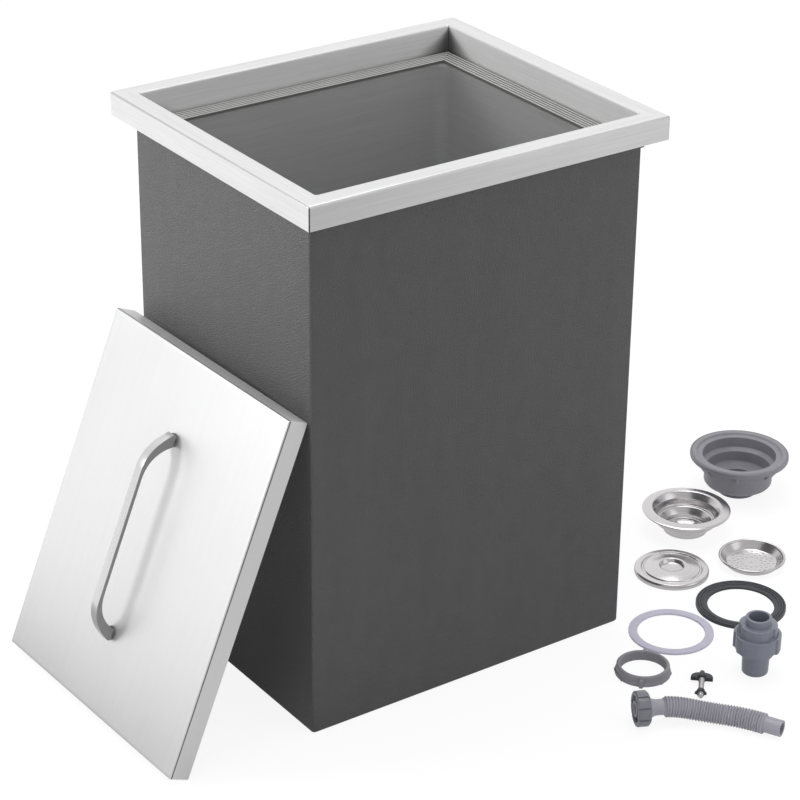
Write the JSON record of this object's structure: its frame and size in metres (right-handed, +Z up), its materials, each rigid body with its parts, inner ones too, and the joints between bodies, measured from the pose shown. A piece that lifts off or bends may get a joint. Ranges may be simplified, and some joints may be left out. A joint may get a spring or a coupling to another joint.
{
  "type": "drop-in ice bin",
  "caption": "Insulated drop-in ice bin with a folded steel rim, a lift-off lid leaning on its side, and its drain fittings lying loose beside it.",
  "frame": {"origin": "centre of the bin's bottom face, on the floor that it stands on", "axes": "+Z up, +X along the bin's wide front, the front face looks along -Y, the lid leans on the -X side"},
  "size_m": [0.781, 0.5161, 0.491],
  "materials": {
    "rim_steel": "brushed along each side",
    "tub_steel": "brushed, a little duller inside",
    "lid_steel": "brushed along the lid's length",
    "handle_steel": "satin",
    "jacket_black": "fine leather-like orange peel",
    "ledge_grey": "satin, ribbed",
    "foam": "closed-cell foam",
    "foot_dark": "matt",
    "screw_steel": "plain",
    "fitting_grey": "moulded, satin",
    "nut_grey": "moulded, satin",
    "insert_steel": "turned",
    "drain_steel": "turned in rings",
    "gasket_rubber": "matt, ribbed",
    "washer_clear": "translucent white",
    "hose_grey": "moulded, ribbed",
    "bolt_black": "moulded, satin"
  },
  "bodies": {
    "bin": {"rim_frame": "rim_steel", "ledge_strip_left": "ledge_grey", "ledge_strip_right": "ledge_grey", "ledge_strip_front": "ledge_grey", "ledge_strip_back": "ledge_grey", "tub_liner": "tub_steel", "foam_core": "foam", "outer_jacket": "jacket_black"},
    "lid": {"lid_top_pan": "lid_steel", "lid_foam": "foam", "lid_bottom_pan": "tub_steel", "lid_handle": "handle_steel", "handle_feet": "foot_dark", "handle_screws": "screw_steel"},
    "drain_body_loose": {"drain_body": "fitting_grey", "thread_insert": "insert_steel"},
    "drain_flange_loose": {"drain_flange": "drain_steel"},
    "strainer_loose": {"strainer": "drain_steel"},
    "plug_cover_loose": {"plug_cover": "drain_steel"},
    "gasket_loose": {"rubber_gasket": "gasket_rubber"},
    "washer_loose": {"slip_washer": "washer_clear"},
    "ring_nut_loose": {"ring_nut": "fitting_grey"},
    "union_loose": {"union_top": "fitting_grey", "union_seal": "gasket_rubber", "union_tail": "fitting_grey"},
    "union_nut_turning": {"union_nut": "nut_grey"},
    "hose_loose": {"hose": "hose_grey"},
    "hose_nut_turning": {"hose_nut": "nut_grey"},
    "bolt_loose": {"bolt_head": "bolt_black", "bolt_stud": "screw_steel"},
    "wing_nut_turning": {"wing_nut": "bolt_black"}
  },
  "joints": [
    {"name": "lid_lift", "type": "slide", "parent": "bin", "child": "lid", "axis": [-0.7071, 0, 0.7071], "range_m": [0, 0.35]},
    {"name": "drain_body_lift", "type": "slide", "parent": "bin", "child": "drain_body_loose", "axis": [0, 0, 1], "range_m": [0, 0.12]},
    {"name": "drain_flange_lift", "type": "slide", "parent": "bin", "child": "drain_flange_loose", "axis": [0, 0, 1], "range_m": [0, 0.12]},
    {"name": "strainer_lift", "type": "slide", "parent": "bin", "child": "strainer_loose", "axis": [0, 0, 1], "range_m": [0, 0.12]},
    {"name": "plug_cover_lift", "type": "slide", "parent": "bin", "child": "plug_cover_loose", "axis": [0, 0, 1], "range_m": [0, 0.12]},
    {"name": "gasket_lift", "type": "slide", "parent": "bin", "child": "gasket_loose", "axis": [0, 0, 1], "range_m": [0, 0.12]},
    {"name": "washer_lift", "type": "slide", "parent": "bin", "child": "washer_loose", "axis": [0, 0, 1], "range_m": [0, 0.12]},
    {"name": "ring_nut_lift", "type": "slide", "parent": "bin", "child": "ring_nut_loose", "axis": [0, 0, 1], "range_m": [0, 0.12]},
    {"name": "union_lift", "type": "slide", "parent": "bin", "child": "union_loose", "axis": [0, 0, 1], "range_m": [0, 0.12]},
    {"name": "hose_lift", "type": "slide", "parent": "bin", "child": "hose_loose", "axis": [0, 0, 1], "range_m": [0, 0.12]},
    {"name": "bolt_lift", "type": "slide", "parent": "bin", "child": "bolt_loose", "axis": [0, 0, 1], "range_m": [0, 0.12]},
    {"name": "union_nut_spin", "type": "hinge", "parent": "union_loose", "child": "union_nut_turning", "pos_m": [0.212, -0.268, 0.03], "axis": [0, 0, 1], "continuous": true},
    {"name": "hose_nut_spin", "type": "hinge", "parent": "hose_loose", "child": "hose_nut_turning", "pos_m": [0.07, -0.274, 0.0155], "axis": [0.9018, -0.4321, 0], "continuous": true},
    {"name": "wing_nut_spin", "type": "hinge", "parent": "bolt_loose", "child": "wing_nut_turning", "pos_m": [0.16, -0.257, 0.0042], "axis": [0.682, 0.7314, 0], "continuous": true}
  ]
}
